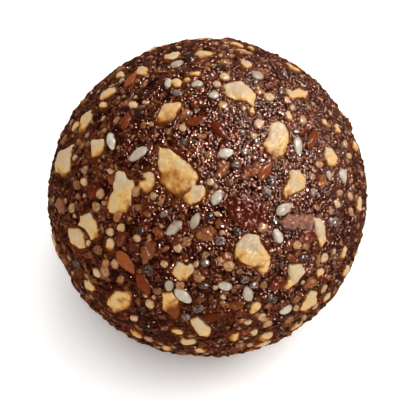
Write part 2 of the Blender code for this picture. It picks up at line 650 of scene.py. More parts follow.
# %% Chopping
CHOP_DEEP = 0.9 * MM
# A small chip goes in no deeper than this many times its size, and narrows to this share at its bottom.
CHOP_DEEP_SHARE = 1.1
CHOP_NARROWS = 0.75
CHOP_RAGGED = 0.65
CHOP_LEAN = 0.03
# The steps of the broken face: the width that each leaves, its lift, and its share of the ball's own bulge.
CHOP_STEPS = ((0.88, 0.16 * MM, 0.25), (0.65, 0.08 * MM, 0.45), (0.40, 0.08 * MM, 0.30))
# How much wider a chip is cut, because smoothing takes that off again, and how deep its rim lies.
CHOP_WIDER = 1.08
RIM_SINK = 0.10 * MM
# The broken face has more corners than any side, and looks up at least this squarely.
SIDE_CORNERS = 4
LOOKS_UP = 0.6


def chop(rim, number):
    """One chip from its outline on the ball."""
    heart = heart_of(rim)
    up = (heart - middle).normalized()
    size = sum(reaches(rim)) / len(rim)
    deselect_all()
    bpy.ops.mesh.primitive_circle_add(vertices=len(rim), radius=size, fill_type="NGON", location=heart)
    chip = bpy.context.object
    for corner, place in zip(chip.data.vertices, rim):
        corner.co = (place - heart) * CHOP_WIDER - up * RIM_SINK
    shape_in(chip, "EDGE")
    bpy.ops.mesh.select_all(action="SELECT")
    bpy.ops.mesh.subdivide(number_cuts=2, fractal=CHOP_RAGGED, fractal_along_normal=0.0, seed=number)
    bpy.ops.mesh.select_mode(type="FACE")
    bpy.ops.mesh.select_all(action="SELECT")
    down = -up * min(CHOP_DEEP, CHOP_DEEP_SHARE * size)
    bpy.ops.mesh.extrude_region_move(TRANSFORM_OT_translate={"value": down})
    bpy.ops.transform.resize(value=(CHOP_NARROWS,) * 3, center_override=heart - up * CHOP_DEEP)
    bpy.ops.mesh.select_all(action="SELECT")
    bpy.ops.mesh.normals_make_consistent(inside=False)
    pick(chip, "polygons", lambda face: face.normal.dot(up) > LOOKS_UP and face.loop_total > SIDE_CORNERS)
    lean = random_vector() * CHOP_LEAN * size
    bulge = size * size / (2 * radius)
    for share, step, bulge_share in CHOP_STEPS:
        lift = step + bulge_share * bulge
        bpy.ops.mesh.extrude_region_move(TRANSFORM_OT_translate={"value": up * lift + lean})
        bpy.ops.transform.resize(value=(share, share, share), center_override=heart + up * (lift + bulge))
    finish_shape(chip)
    marks = chip.data.attributes.new("chip", "INT", "FACE")
    marks.data.foreach_set("value", [number] * len(chip.data.polygons))
    return chip


# %% [markdown]
# All the chips are joined to one piece. A voxel remesh gives it small even faces and a smoothing rounds the
# cut edges. The remesh forgets which chip a face belongs to, so the chips as cut are kept as a tree for
# sight lines, and each new corner takes its tone from the nearest one.

# %% Chips as one piece
SMOOTHING = 3


def chopped_pieces(name, rims, voxel, painted_shade_side):
    """All the chips as one piece of even small faces, each with painted shading: a tone that shifts towards
    its lower side in the picture.
    """
    rough = join_all([chop(rim, number) for number, (_, rim) in enumerate(rims)], name)
    rough_tree = tree_of([rough])
    chip_of_face = [mark.value for mark in rough.data.attributes["chip"].data]
    hearts = [heart_of(rim) for _, rim in rims]
    sizes = [sum(reaches(rim)) / len(rim) for _, rim in rims]
    even = rough.modifiers.new("even", "REMESH")
    even.mode = "VOXEL"
    even.voxel_size = voxel
    soft = rough.modifiers.new("soft", "SMOOTH")
    soft.iterations = SMOOTHING
    apply_all(rough)
    tones = []
    for corner in rough.data.vertices:
        _, _, face, _ = rough_tree.find_nearest(corner.co)
        chip = chip_of_face[face]
        # Painted shading: the tone shifts with how far down the picture the corner lies on its chip.
        lower = (corner.co - hearts[chip]).dot(-picture_up) / sizes[chip]
        tones.append(rims[chip][0] + painted_shade_side * lower)
    if "chip" in rough.data.attributes:
        rough.data.attributes.remove(rough.data.attributes["chip"])
    carry(rough, "tone", tones)
    return rough


# %% [markdown]
# The remeshed nuts still look moulded. A cloud texture with patches of a millimetre and a half makes the
# broken faces craggy, a second smoothing softens that, and a fine one leaves the grain of the nut.

# %% Nut chips
NUT_VOXEL = 0.19 * MM
# Painted shade and glow: how much more golden and darker a chip is at its lower side in the picture.
NUT_SHADED_SIDE = 0.8

nuts = chopped_pieces("nut_chips", nut_rims, NUT_VOXEL, NUT_SHADED_SIDE)
knead(nuts, "nut_crag", "CLOUDS", 1.4 * MM, 0.72 * MM, 0.44)
rounded = nuts.modifiers.new("rounded", "SMOOTH")
rounded.iterations = SMOOTHING
knead(nuts, "nut_grain", "CLOUDS", 0.5 * MM, 0.18 * MM)
apply_all(nuts)
bpy.ops.object.shade_smooth()
print(triangles(nuts))

# %% [markdown]
# ## Bits of dried fruit
# Here and there the paste shows what it was made of: a dark red, wrinkled bit of fruit, smooth orange-brown
# skin of dates, and a dusty pink bit of bean. They are chopped like the nuts, and then wrinkled far more
# deeply.

# %% Dried fruit
# Across, down, length, width, turn, and a tone from dark red, through orange-brown, to dusty pink.
FRUIT_SEEN = (
    (247, 213, 37, 30, -30, 0.08), (300, 222, 34, 14, 0, 0.95), (308, 238, 17, 12, 10, 0.3),
    (149, 251, 21, 13, 72, 0.5), (206, 234, 18, 12, 22, 0.62), (278, 284, 14, 12, 40, 0.3),
    (310, 283, 14, 9, 20, 0.7), (322, 180, 12, 9, 80, 0.65), (248, 172, 14, 11, 70, 0.4),
    (222, 170, 15, 10, 80, 0.6), (263, 211, 15, 8, 85, 0.8), (112, 178, 12, 8, 70, 0.4),
    (197, 103, 14, 8, 15, 0.3), (256, 168, 13, 8, 60, 0.6), (303, 130, 12, 8, 30, 0.25),
    (121, 238, 13, 9, 60, 0.3), (92, 192, 13, 8, 70, 0.25), (236, 305, 13, 8, 0, 0.4),
    (60, 205, 14, 9, 88, 0.85),
)
FAR_FRUIT = 24
FRUIT_VOXEL = 0.16 * MM
FAR_FRUIT_LENGTH = (1.2 * MM, 4.0 * MM)
FAR_FRUIT_SLENDER = (0.5, 0.9)
# Painted shading, as on the nuts: how far a bit's tone shifts towards its lower side in the picture.
FRUIT_SHADED_SIDE = 0.15

fruit_rims = [(tone, seen_outline(*shape)) for *shape, tone in FRUIT_SEEN]
claim_outlines(fruit_rims)
far_rims = far_outlines(FAR_FRUIT, *FAR_FRUIT_LENGTH, FAR_FRUIT_SLENDER)
fruit_rims += [(dice.random(), rim) for rim in far_rims]
fruit = chopped_pieces("dried_fruit", fruit_rims, FRUIT_VOXEL, FRUIT_SHADED_SIDE)
knead(fruit, "fruit_folds", "VORONOI", 0.8 * MM, -0.64 * MM, 0.7)
knead(fruit, "fruit_grain", "CLOUDS", 0.4 * MM, 0.24 * MM)
apply_all(fruit)
bpy.ops.object.shade_smooth()
print(len(fruit_rims), "bits,", triangles(fruit))

# %% [markdown]
# ## White sesame
# The hulled sesame seeds are flat drops, 2.8 mm long, with one end drawn to a point. A sphere primitive is
# flattened and its one half narrowed in steps, which gives the drop without any drawing.

# %% Sesame
# Length, width and thickness of a whole seed; then, for each seed in view, its place, length, width and turn.
SESAME = (2.8 * MM, 1.6 * MM, 0.9 * MM)
SESAME_SEEN = (
    (138, 154, 21, 10, 37), (174, 228, 20, 10.5, 42), (195, 221, 17, 9, 67), (226, 153, 15, 10, 10),
    (217, 197, 16, 11.5, 62), (298, 146, 18, 9, 90), (284, 209, 17, 11, 33), (278, 236, 15, 10, -60),
    (257, 75, 14, 8, -20), (183, 296, 20, 11, -43), (225, 286, 14, 10, -15), (248, 294, 15, 11, -78),
    (286, 310, 13, 8, 20), (177, 64, 14, 7, 25), (343, 176, 15, 8, -78), (111, 141, 17, 9, -78),
    (197, 84, 12, 7, 10), (169, 286, 11, 9.5, 80), (214, 95, 10, 8, 0), (168, 83, 10, 8, 90),
    (329, 175, 11, 6, -80),
)
FAR_SESAME = 38
SESAME_SINK = 0.08 * MM
SESAME_TAPER = 0.94
# Where a drop begins to narrow, and narrows again, as shares of its length.
DROP_STEPS = (0.05, 0.18, 0.3, 0.42)
# What a seed in view keeps free, as a share of the whole seed's length.
SEEN_KEEPS = 0.36


def flat_drop(length, width, thickness, taper, columns=14, rings=9):
    """A seed: a sphere primitive made flat, with its far end narrowed to a point in steps."""
    deselect_all()
    bpy.ops.mesh.primitive_uv_sphere_add(
        segments=columns, ring_count=rings, radius=length / 2, rotation=(0, math.pi / 2, 0),
    )
    seed = bpy.context.object
    bpy.ops.object.transform_apply(location=True, rotation=True, scale=True)
    shape_in(seed)
    bpy.ops.mesh.select_all(action="SELECT")
    bpy.ops.transform.resize(value=(1, width / length, thickness / length), center_override=(0, 0, 0))
    for start in DROP_STEPS:
        pick(seed, "vertices", lambda corner: corner.co.x > start * length)
        bpy.ops.transform.resize(value=(1, taper, 0.5 + taper / 2), center_override=(0, 0, 0))
    finish_shape(seed)
    return seed


def seen_beds(seen, sink, whole, turned_about=False):
    """Beds for the pieces of one kind that the photograph shows."""
    beds = []
    for across, down, long_px, wide_px, turn in seen:
        flip = 180 * dice.randrange(2) if turned_about else 0
        beds.append(seen_bed(across, down, long_px, wide_px, turn + flip, sink, whole, dice.random()))
        claim(beds[-1]["place"], SEEN_KEEPS * whole[0])
    return beds


sesame_beds = seen_beds(SESAME_SEEN, SESAME_SINK, SESAME, turned_about=True)
sesame_beds += strewn_beds(FAR_SESAME, 0.4 * SESAME[0], sizes=(0.8, 1.05), sink=(0.08 * MM, 0.26 * MM))
sesame = lay("sesame_seeds", flat_drop(*SESAME, SESAME_TAPER), sesame_beds)

# %% [markdown]
# ## Linseed
# The red-brown glossy seeds are linseed: longer and flatter than sesame, with a sharper end and a fine
# edge.

# %% Linseed
LINSEED = (3.5 * MM, 1.7 * MM, 0.8 * MM)
LINSEED_SEEN = (
    (131, 80, 18, 7, 57), (126, 121, 18, 8, 75), (197, 121, 22, 9, 17), (220, 131, 25, 10, -47),
    (265, 171, 21, 11, 54), (312, 139, 20, 10, 62), (126, 262, 27, 12, -52), (144, 284, 23, 11, -62),
    (212, 317, 20, 8, 14),
)
FAR_LINSEED = 16
# A negative sink lets the seed stand proud.
LINSEED_SINK = -0.06 * MM
LINSEED_TAPER = 0.88

linseed_beds = seen_beds(LINSEED_SEEN, LINSEED_SINK, LINSEED)
linseed_beds += strewn_beds(FAR_LINSEED, 0.4 * LINSEED[0], sizes=(0.75, 1.0), sink=(0.04 * MM, 0.2 * MM))
linseed = lay("linseed", flat_drop(*LINSEED, LINSEED_TAPER), linseed_beds)

# %% [markdown]
# ## Chia
# The dark grey, shiny ovals are chia seeds, under 2 mm long. They are plump, with two blunt ends. Above the
# middle of the picture, they and their broken halves lie close together.

# %% Chia
CHIA = (1.75 * MM, 1.25 * MM, 0.85 * MM)
CHIA_SEEN = (
    (139, 112, 10, 8, 0), (190, 58, 10, 7, 20), (177, 93, 11, 7, -20), (164, 214, 10, 7, 30),
    (148, 270, 12, 9, -10), (142, 310, 9, 6, -25), (186, 317, 10, 7, 5), (198, 309, 12, 8, 30),
    (204, 286, 11, 7, 0), (284, 73, 8, 5, -30), (272, 181, 13, 9, -60), (267, 192, 11, 8, 0),
    (236, 165, 10, 8, 30), (220, 241, 11, 9, 20), (238, 232, 10, 8, -40), (275, 222, 11, 8, 0),
    (209, 217, 10, 8, 0), (335, 222, 11, 8, 80), (297, 131, 9, 6, 0), (304, 258, 10, 7, 0),
    (313, 192, 9, 7, 80), (77, 264, 11, 6, -60), (272, 299, 11, 9, -40), (254, 285, 10, 7, 20),
    (245, 280, 10, 7, 30), (331, 222, 9, 7, 60), (280, 331, 9, 6, 60), (146, 327, 10, 6, -40),
    (140, 231, 10, 8, 40), (205, 263, 10, 8, 0),
)
CHIA_SINK = 0.06 * MM
# Where they crowd, in pixels: across, down, and a distance within which nearly all of them lie.
CROWD_ACROSS, CROWD_DOWN, CROWD_SPREAD = 232, 128, 46
CROWD_COUNT = 60
CROWD_LENGTH_PX = (5, 9)
CROWD_SLENDER = (0.6, 0.95)
CROWD_SINK = 0.12 * MM
# What a crowding seed keeps free, as a share of its length.
CROWD_KEEPS = 0.35
FAR_CHIA = 60


def plump_seed(size, columns=8, rings=6):
    """A plump oval seed of a few dozen faces."""
    deselect_all()
    bpy.ops.mesh.primitive_uv_sphere_add(segments=columns, ring_count=rings, radius=0.5 * size[0])
    seed = bpy.context.object
    shape_in(seed)
    bpy.ops.mesh.select_all(action="SELECT")
    bpy.ops.transform.resize(value=(1, size[1] / size[0], size[2] / size[0]), center_override=(0, 0, 0))
    finish_shape(seed)
    return seed


chia_beds = seen_beds(CHIA_SEEN, CHIA_SINK, CHIA)
for _ in range(CROWD_COUNT):
    across = CROWD_ACROSS + dice.gauss(0, 0.5) * CROWD_SPREAD
    down = CROWD_DOWN + dice.gauss(0, 0.5) * CROWD_SPREAD
    long_px = dice.uniform(*CROWD_LENGTH_PX)
    if is_free(seen_at(across, down), CROWD_KEEPS * long_px * PX):
        oval = (across, down, long_px, long_px * dice.uniform(*CROWD_SLENDER), dice.uniform(0, 180))
        chia_beds += seen_beds((oval,), CROWD_SINK, CHIA)
chia_beds += strewn_beds(FAR_CHIA, 0.45 * CHIA[0], sizes=(0.6, 1.0), sink=(0, 0.2 * MM))
chia = lay("chia_seeds", plump_seed(CHIA), chia_beds)

# %% [markdown]
# ## Husk and date skin
# Orange-brown flakes of husk and date skin, up to a millimetre and a half long, fill the gaps between the
# seeds. Each copy starts from a cylinder primitive of seven sides, whose top is inset and lifted and whose
# corners are shaken.

# %% Flakes
FLAKE = (1.7 * MM, 1.2 * MM, 0.7 * MM)
FLAKE_COUNT = 600
FLAKE_TRIES = 15
FLAKE_SIDES = 7
# How squarely a face of the top looks up, at least.
TOP_FACING = 0.9
# The top is inset by this share of the length, lifted by this one of the thickness, and shaken by this one of
# the width.
FLAKE_INSET, FLAKE_LIFT, FLAKE_SHAKE = 0.24, 0.2, 0.16


def shaken_flake(size):
    """An uneven flat flake with a raised middle."""
    deselect_all()
    bpy.ops.mesh.primitive_cylinder_add(vertices=FLAKE_SIDES, radius=size[0] / 2, depth=size[2])
    flake = bpy.context.object
    shape_in(flake, "FACE")
    pick(flake, "polygons", lambda face: face.normal.z > TOP_FACING)
    bpy.ops.mesh.inset(thickness=FLAKE_INSET * size[0])
    bpy.ops.transform.translate(value=(0, 0, FLAKE_LIFT * size[2]))
    bpy.ops.mesh.select_all(action="SELECT")
    bpy.ops.transform.resize(value=(1, size[1] / size[0], 1), center_override=(0, 0, 0))
    bpy.ops.transform.vertex_random(offset=FLAKE_SHAKE * size[1], uniform=0.0, normal=0.0, seed=3)
    finish_shape(flake)
    return flake


flake_beds = strewn_beds(
    FLAKE_COUNT, 0.34 * FLAKE[0], sizes=(0.35, 1.0), sink=(0.20 * MM, 0.42 * MM), whole_ball=True,
    tries=FLAKE_TRIES,
)
flakes = lay("husk_flakes", shaken_flake(FLAKE), flake_beds)
knead(flakes, "flake_dents", "CLOUDS", 0.5 * MM, 0.36 * MM)
apply_all(flakes)

# %% [markdown]
# ## Round grains
# The commonest seed is a round tan grain a little over a millimetre wide, flattened, with a faint ring on
# its face. Several hundred lie all over the ball, most of them so deep that only a cap shows.

# %% Grains
GRAIN = (1.25 * MM, 1.15 * MM, 0.75 * MM)
# Across, down and width in pixels.
GRAINS_SEEN = (
    (133, 105, 9), (186, 113, 9), (225, 77, 9), (217, 84, 8), (223, 105, 9), (269, 97, 11), (136, 192, 10),
    (153, 196, 8), (96, 207, 10), (121, 228, 9), (110, 232, 9), (263, 227, 13), (229, 266, 12),
    (303, 120, 8), (151, 124, 6), (259, 124, 10), (85, 170, 8), (77, 185, 9), (84, 182, 8), (111, 171, 7),
    (100, 194, 9), (98, 250, 11), (88, 243, 6), (90, 255, 6), (115, 264, 9), (105, 271, 11), (97, 273, 9),
    (186, 242, 10), (178, 248, 10), (164, 264, 8), (157, 291, 9), (154, 298, 5), (180, 285, 9),
    (150, 304, 10), (137, 238, 8), (210, 182, 8), (209, 155, 9), (328, 125, 7), (319, 164, 8),
    (340, 193, 8), (337, 204, 8), (297, 245, 10), (306, 246, 8), (264, 285, 8), (267, 324, 10),
    (262, 317, 9), (254, 332, 9), (289, 320, 9), (304, 318, 8), (296, 300, 9), (296, 308, 7), (240, 345, 9),
    (250, 345, 7), (324, 288, 7), (134, 318, 9), (254, 136, 7), (104, 203, 6), (217, 214, 6), (197, 274, 8),
    (250, 226, 8), (215, 288, 6), (223, 297, 6), (248, 322, 7), (331, 210, 7), (349, 156, 8), (324, 258, 9),
    (351, 212, 8), (315, 306, 7), (345, 143, 7), (72, 208, 8), (350, 196, 8), (149, 339, 8),
)
GRAIN_SINK = 0.10 * MM
GRAIN_COUNT = 400
GRAIN_TRIES = 12
# How far the face is pressed down, as a share of the thickness.
RING_DEEP = 0.1
# What a grain in view keeps free, as a share of its width.
GRAIN_KEEPS = 0.45


def ringed_grain(size):
    """A flat round grain whose face is pressed down, which leaves a ring."""
    grain = plump_seed(size)
    shape_in(grain, "FACE")
    pick(grain, "polygons", lambda face: face.normal.z > TOP_FACING)
    bpy.ops.transform.translate(value=(0, 0, -RING_DEEP * size[2]))
    finish_shape(grain)
    return grain


grain_beds = []
for across, down, wide_px in GRAINS_SEEN:
    turn, tone = dice.uniform(0, 180), dice.uniform(0.3, 1.1)
    less_wide_px = wide_px * dice.uniform(0.9, 1.05)
    bed = seen_bed(across, down, wide_px, less_wide_px, turn, GRAIN_SINK, GRAIN, tone)
    claim(bed["place"], GRAIN_KEEPS * wide_px * PX)
    grain_beds.append(bed)
grain_beds += strewn_beds(
    GRAIN_COUNT, 0.45 * GRAIN[0], sizes=(0.5, 0.95), sink=(0.08 * MM, 0.34 * MM), whole_ball=True,
    tries=GRAIN_TRIES,
)
grains = lay("tan_grains", ringed_grain(GRAIN), grain_beds)
knead(grains, "grain_dents", "CLOUDS", 0.6 * MM, 0.30 * MM)
apply_all(grains)

# %% [markdown]
# ## The skin of paste
# The paste itself is one closed skin. A cube primitive, subdivided and cast to a sphere, has even square
# faces all round and no poles, which suits fine relief better than a globe's. The skin is shrunk onto the
# packed ball, so that it has its presses and its foot, and three textures knead it: broad lumps, chopped
# bits and grit. It gives way under each nut and seed, and what reaches below the table is pressed flat.

# %% Paste skin
SKIN_LEVELS = 7

deselect_all()
bpy.ops.mesh.primitive_cube_add(size=2 * radius, location=middle)
skin = bpy.context.object
skin.name = skin.data.name = "paste_skin"
divided = skin.modifiers.new("divided", "SUBSURF")
divided.levels = divided.render_levels = SKIN_LEVELS
rolled = skin.modifiers.new("rolled", "CAST")
rolled.factor = 1
rolled.use_radius_as_size = False
rolled.radius = 0
rolled.size = radius
apply_all(skin)
bpy.ops.object.transform_apply(location=True, rotation=True, scale=True)
wrapped = skin.modifiers.new("wrapped", "SHRINKWRAP")
wrapped.target = ball
knead(skin, "lumps", "CLOUDS", 3.6 * MM, 0.26 * MM)
knead(skin, "bits", "VORONOI", 1.1 * MM, -0.50 * MM)
knead(skin, "grit", "VORONOI", 0.6 * MM, -0.30 * MM)
apply_all(skin)
bpy.ops.object.shade_smooth()
heights = [(corner.co - middle).length / MM for corner in skin.data.vertices]
print("skin radius, mm:", round(min(heights), 2), "to", round(max(heights), 2))

# %% [markdown]
# The skin gives way to what is pressed into it. Where a piece comes close under the skin or stands out of
# it, the skin dips below that piece's surface, so that the piece shows whole, with paste round its rim.
# Each corner also keeps how near the next nut is, for the syrup that has run there, and how high it stands,
# for painted shade in the paste's hollows.

# %% Skin under the nuts and seeds
SKIN_SINK = 0.04 * MM
# How near under the skin a piece has to come, and how far below the piece's surface the skin then dips.
CHIP_COVER, CHIP_GAP = 0.18 * MM, 0.5 * MM
SEED_COVER, SEED_GAP = 0.16 * MM, 0.22 * MM
SYRUP_REACH = 0.7 * MM
# The height over which the paste's painted shade goes from its hollows to its tops.
HOLLOW_SHADE_HEIGHT = 0.35 * MM

chip_tree = tree_of([nuts, fruit])
seed_tree = tree_of([sesame, linseed, chia, flakes, grains])
nut_tree = tree_of([nuts])
syrup, relief = [], []
for corner in skin.data.vertices:
    way = (corner.co - middle).normalized()
    height = (corner.co - middle).length - SKIN_SINK
    relief.append((height - (ground(way) - middle).length) / HOLLOW_SHADE_HEIGHT)
    for tree, cover, gap in ((chip_tree, CHIP_COVER, CHIP_GAP), (seed_tree, SEED_COVER, SEED_GAP)):
        piece_height = height_over(tree, way)
        if piece_height > height - cover:
            height = min(height, piece_height - gap)
    corner.co = middle + way * height
    corner.co.z = max(corner.co.z, foot_z)
    _, _, _, nut_away = nut_tree.find_nearest(corner.co, SYRUP_REACH)
    syrup.append(0.0 if nut_away is None else 1 - nut_away / SYRUP_REACH)
carry(skin, "syrup", syrup)
carry(skin, "relief", relief)
skin_tree = tree_of([skin])
print(triangles(skin))

# %% [markdown]
# ## Crumbs
# Between the seeds the paste is full of chopped bits, from dark purple-brown to tan, a quarter of a
# millimetre to a millimetre across. Many thousands are needed, so each starts from the roundest primitive
# of twenty faces, is flattened and shaken, and a texture later makes every copy different.

# %% Crumbs
CRUMB = 0.8 * MM
CRUMB_COUNT = 9800
PALE_CRUMB_COUNT = 6400
# The middle of the picture is darker: only this share of the pale crumbs that fall there stay.
VIEW_MIDDLE = math.cos(math.radians(60))
PALE_IN_MIDDLE = 0.66
# How far a seed may stand out of the ball, and a chip beside the crumb, for a crumb to lie on its rim.
SEED_RIM = 0.06 * MM
CHIP_TOP = 0.05 * MM
# How far a crumb reaches, as a share of its size, and how far its corners are shaken.
CRUMB_REACH = 0.45
CRUMB_SHAKE = 0.12
# The higher this power, the more of the crumbs are fine.
MOSTLY_FINE = 1.7
CRUMB_LENGTH, CRUMB_WIDTH, CRUMB_THICKNESS = (0.8, 1.4), (0.7, 1.1), (0.38, 0.66)


def cut_crumb(size, seed_number):
    """A small angular crumb."""
    deselect_all()
    bpy.ops.mesh.primitive_ico_sphere_add(subdivisions=1, radius=size / 2)
    crumb = bpy.context.object
    shape_in(crumb)
    bpy.ops.mesh.select_all(action="SELECT")
    bpy.ops.transform.vertex_random(offset=CRUMB_SHAKE * size, uniform=0.0, normal=0.0, seed=seed_number)
    finish_shape(crumb, smooth=False)
    return crumb


def sprinkle_beds(count, sizes, sink, in_middle=1.0):
    """Beds for crumbs, which lie on the skin and on low rims of nuts and seeds, but not on their tops."""
    beds = []
    for _ in range(count):
        way = any_direction()
        if way.dot(toward_camera) > VIEW_MIDDLE and dice.random() > in_middle:
            continue
        height = height_over(skin_tree, way)
        size = sizes[0] + (sizes[1] - sizes[0]) * dice.random() ** MOSTLY_FINE
        level = (ground(way) - middle).length
        over_chip, over_seed = height_over(chip_tree, way), height_over(seed_tree, way)
        near_chip, _, _, _ = chip_tree.find_nearest(ground(way), CRUMB_REACH * size * CRUMB)
        on_top = near_chip is not None and (near_chip - middle).length > level + CHIP_TOP
        if not on_top and over_chip < level and over_seed < level + SEED_RIM:
            height = max(height, over_chip, over_seed)
            along = random_vector()
            shape = [size * dice.uniform(*share) for share in (CRUMB_LENGTH, CRUMB_WIDTH, CRUMB_THICKNESS)]
            place = middle + way * height
            beds.append(bed_at(place, along, dice.uniform(*sink) * size, shape, dice.random()))
    return beds


crumb_beds = sprinkle_beds(CRUMB_COUNT, (0.32, 1.05), (0.07 * MM, 0.26 * MM))
crumbs = lay("paste_crumbs", cut_crumb(CRUMB, 4), crumb_beds)
pale_beds = sprinkle_beds(PALE_CRUMB_COUNT, (0.26, 1.0), (0.04 * MM, 0.24 * MM), in_middle=PALE_IN_MIDDLE)
pale_crumbs = lay("nut_crumbs", cut_crumb(CRUMB, 9), pale_beds)
for piece in (crumbs, pale_crumbs):
    knead(piece, f"{piece.name}_shaken", "CLOUDS", 0.4 * MM, 0.20 * MM)
    apply_all(piece)

# %% [markdown]
# ## Smears and painted contact shade
# Nothing lies clean on the paste: it climbs every seed's flank and dulls its rim. Each piece therefore
# carries how near its surface is to the skin, and its paint goes dark there: partly paste smeared over it,
# partly painted shade where it meets the skin.

# %% Smears and painted contact shade
# How far from the skin the paste smear and painted contact shade reach, on chips and on seeds.
CHIP_SMEAR_AND_SHADE = 0.80 * MM
SEED_SMEAR_AND_SHADE = 0.44 * MM

for piece in (nuts, fruit, sesame, linseed, chia, flakes, grains, crumbs, pale_crumbs):
    reach = CHIP_SMEAR_AND_SHADE if piece in (nuts, fruit) else SEED_SMEAR_AND_SHADE
    smear_and_shade = []
    for corner in piece.data.vertices:
        near, _, _, away = skin_tree.find_nearest(corner.co)
        proud = away if (corner.co - middle).length > (near - middle).length else 0.0
        smear_and_shade.append(max(0.0, 1 - proud / reach))
    carry(piece, "smear_and_shade", smear_and_shade)
    print(piece.name, "smeared by", round(sum(smear_and_shade) / len(smear_and_shade), 2))

# %% [markdown]
# ## Paints
# Every colour comes from noise at the true size of what it stands for, so that the paste looks chopped, the
# nuts stained and the chia mottled from any side. The helpers below keep each recipe short: each adds one
# node or two to a material and returns the socket that the next step takes up.

# %% Paint helpers
# The paste that climbs a piece's flank, and the painted shade where the piece meets the skin.
SMEAR_AND_SHADE_TONE = (0.080, 0.017, 0.005)
SMEAR_AND_SHADE_MOST = 0.92
# The faint bloom of fat and sugar that everything has.
BLOOM = 0.06
BLOOM_ROUGH = 0.4
BLOOM_TINT = (1.0, 0.64, 0.50)
# Where nearly all of a noise's values lie.
NOISE_LOW, NOISE_HIGH = 0.3, 0.7
# The two colour sockets of a Mix node, and the one that it gives.
MIX_FIRST, MIX_SECOND, MIX_RESULT = 6, 7, 2


class Paint:
    """A material under way: its nodes, and short ways to add the few kinds that the recipes use."""

    def __init__(self, name):
        self.material = bpy.data.materials.new(name)
        self.material.use_nodes = True
        self.tree = self.material.node_tree
        self.shader = self.tree.nodes["Principled BSDF"]
        self.place = self.tree.nodes.new("ShaderNodeTexCoord").outputs["Object"]

    def add(self, kind, inputs, **settings):
        """A new node in this paint."""
        return add_node(self.tree, kind, inputs, **settings)

    def surface(self, **looks):
        """Sets or links inputs of the surface itself; an underscore in a name stands for a space."""
        for name, value in looks.items():
            give(self.tree, self.shader.inputs[name.replace("_", " ")], value)

    def clouds(self, size, detail=3.0, roughness=0.6):
        """Cloudy noise whose patches have this size."""
        look = {"Vector": self.place, "Scale": 1 / size, "Detail": detail, "Roughness": roughness}
        return self.add("ShaderNodeTexNoise", look).outputs["Fac"]

    def bits(self, size):
        """Cells of this size: each one's own value, and how far down its dome each place lies."""
        cells = self.add("ShaderNodeTexVoronoi", {"Vector": self.place, "Scale": 1 / size})
        parts = self.add("ShaderNodeSeparateColor", {"Color": cells.outputs["Color"]})
        dome = self.add("ShaderNodeMath", {0: cells.outputs["Distance"], 1: 2}, operation="POWER")
        return parts.outputs["Red"], dome.outputs["Value"]

    def own(self, name):
        """A value that the mesh carries."""
        return self.add("ShaderNodeAttribute", {}, attribute_name=name).outputs["Fac"]

    def sum_of(self, *terms):
        """Adds values, each with its weight."""
        total = 0
        for giver, weight in terms:
            term = self.add("ShaderNodeMath", {0: giver, 1: weight, 2: total}, operation="MULTIPLY_ADD")
            total = term.outputs["Value"]
        return total

    def ramp(self, value, stops):
        """Colours along a value."""
        node = self.add("ShaderNodeValToRGB", {"Fac": value})
        marks = node.color_ramp.elements
        while len(marks) < len(stops):
            marks.new(0.5)
        for mark, (position, colour) in zip(marks, stops):
            mark.position = position
            mark.color = (*colour, 1)
        return node.outputs["Color"]

    def blend(self, share, first, second):
        """The second colour over the first, by its share."""
        colours = {"Factor": share, MIX_FIRST: first, MIX_SECOND: (*second, 1)}
        return self.add("ShaderNodeMix", colours, data_type="RGBA").outputs[MIX_RESULT]

    def range_of(self, value, low, high, from_low=NOISE_LOW, from_high=NOISE_HIGH):
        """A value stretched from the middle of the noise, or another range, to a range of its own."""
        reach = {"From Min": from_low, "From Max": from_high, "To Min": low, "To Max": high}
        return self.add("ShaderNodeMapRange", {"Value": value, **reach}).outputs["Result"]

    def relief(self, value, depth):
        """Fine relief that the mesh is too coarse for."""
        bump = self.add("ShaderNodeBump", {"Strength": 1.0, "Distance": depth, "Height": value})
        self.surface(Normal=bump.outputs["Normal"])

    def shine(self, level, tint=(1.0, 1.0, 1.0)):
        """How strongly the surface mirrors, and in what colour, with the faint bloom that all of it has."""
        self.surface(Specular_IOR_Level=level, Specular_Tint=(*tint, 1))
        self.surface(Sheen_Weight=BLOOM, Sheen_Roughness=BLOOM_ROUGH, Sheen_Tint=(*BLOOM_TINT, 1))

    def inside(self, share, reach, colour_reach):
        """Light that goes in and comes out again nearby."""
        self.surface(Subsurface_Weight=share, Subsurface_Scale=reach, Subsurface_Radius=colour_reach)

    def smeared_and_shaded(self, colour, patch, start=0.55, full=1.0):
        """The colour, with paste and painted contact shade over it where the piece's surface nears the skin.
        """
        near = self.sum_of((self.own("smear_and_shade"), 0.75), (self.clouds(patch), 0.5))
        return self.blend(self.range_of(near, 0.0, SMEAR_AND_SHADE_MOST, start, full), colour, SMEAR_AND_SHADE_TONE)

    def coat(self, piece):
        """Puts the finished paint on a piece."""
        piece.data.materials.clear()
        piece.data.materials.append(self.material)
        print(piece.name, "painted with", self.material.name)


# %% [markdown]
# The paste is dark purple-brown in its depths and tan where a bit of nut or husk shows. Its tone is the sum
# of chopped bits, grit, clouds large and small, and how high the skin stands there, which paints shade into
# its hollows. Beside each nut the date syrup has run, and stains it amber. The paste is sticky, so it is
# glossy, and fine beads break its gloss into glints. They are warm, because the syrup over the paste is.

# %% Paste paint
PASTE_TONES = (
    (0.32, (0.016, 0.0012, 0.0004)),
    (0.45, (0.046, 0.0065, 0.0020)),
    (0.55, (0.095, 0.0175, 0.0056)),
    (0.65, (0.205, 0.0540, 0.0190)),
    (0.76, (0.360, 0.1420, 0.0620)),
    (0.88, (0.540, 0.3300, 0.2000)),
)
SYRUP_TONE = (0.15, 0.028, 0.004)
GLINT_TINT = (1.0, 0.57, 0.44)
CHOPPED_BIT = 0.8 * MM
GRIT = 0.38 * MM
BEAD = 0.45 * MM
BEAD_DEEP = 0.30 * MM

